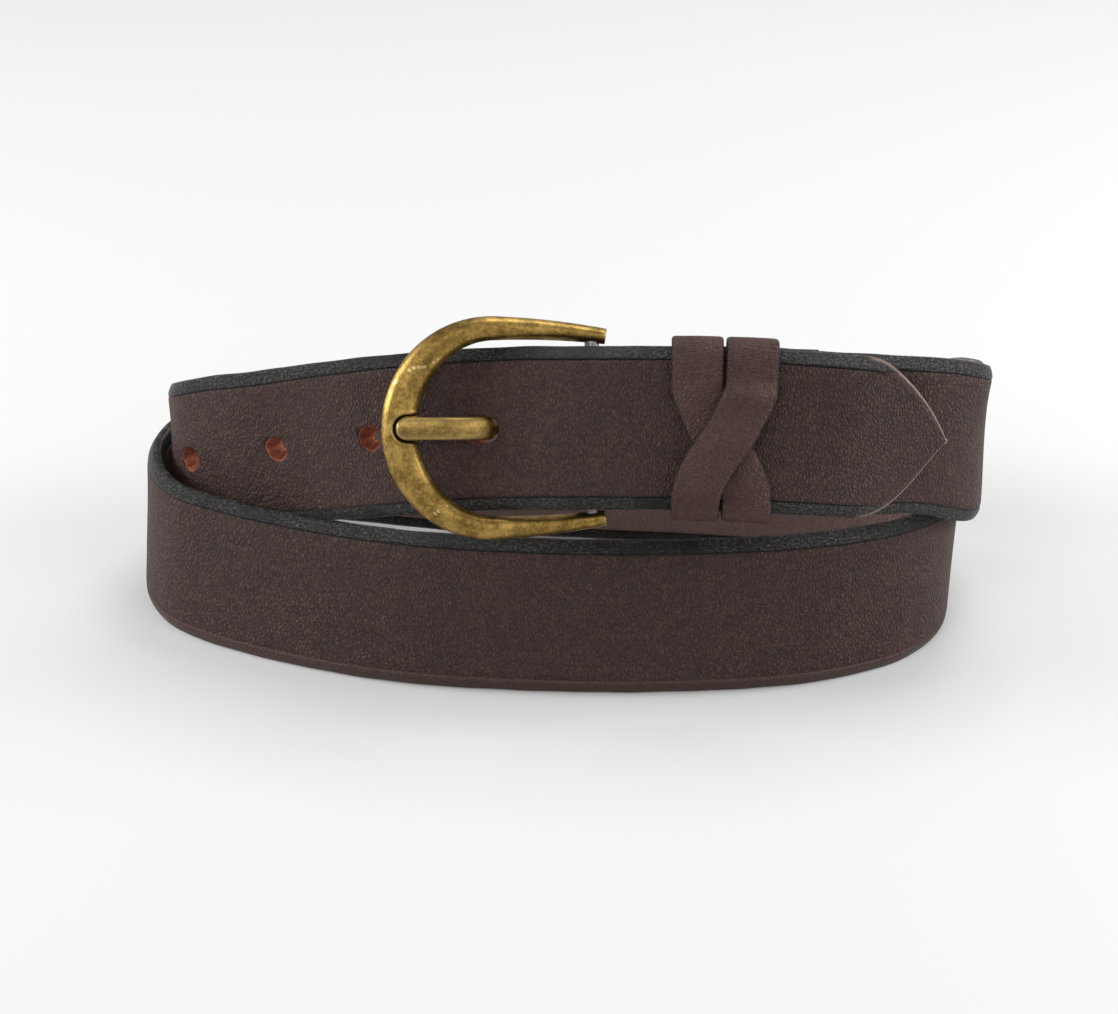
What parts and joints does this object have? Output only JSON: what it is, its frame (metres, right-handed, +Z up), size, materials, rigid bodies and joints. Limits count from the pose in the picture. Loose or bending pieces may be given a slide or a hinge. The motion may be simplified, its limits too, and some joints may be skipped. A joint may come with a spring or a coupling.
{
  "type": "leather belt",
  "caption": "Dark brown leather belt with a horseshoe brass buckle and crossed keeper, buckled and stood on edge in a double coil.",
  "frame": {"origin": "middle of the belt's box, on the surface it stands on", "axes": "+X along the coil's length, towards the strap's point end; -Y is the front, with the buckle; +Z up"},
  "size_m": [0.1926, 0.098, 0.0806],
  "materials": {
    "strap_leather": "matte full-grain, black burnished edges",
    "keeper_leather": "matte full-grain, thin",
    "antique_brass": "antiqued, worn bright on high edges",
    "bar_steel": "drawn",
    "waxed_thread": "waxed, twisted"
  },
  "bodies": {
    "strap_body": {"strap": "strap_leather", "stitch_row_near": "waxed_thread", "stitch_row_far": "waxed_thread"},
    "buckle_body": {"buckle_frame": "antique_brass", "buckle_bar": "bar_steel"},
    "tongue_body": {"tongue": "antique_brass"},
    "keeper_body": {"keeper": "keeper_leather"}
  },
  "joints": [
    {"name": "frame_hinge", "type": "hinge", "parent": "strap_body", "child": "buckle_body", "pos_m": [0.00723, -0.02995, 0.0568], "axis": [-0.0031, 0.4542, 0.8909], "range_deg": [0, 2.5]},
    {"name": "tongue_hinge", "type": "hinge", "parent": "buckle_body", "child": "tongue_body", "pos_m": [0.00723, -0.02995, 0.0568], "axis": [-0.0031, 0.4542, 0.8909], "range_deg": [0, 2.5]},
    {"name": "keeper_slide", "type": "slide", "parent": "strap_body", "child": "keeper_body", "axis": [0.9991, -0.0406, -0.0099], "range_m": [-0.003, 0.001]}
  ]
}
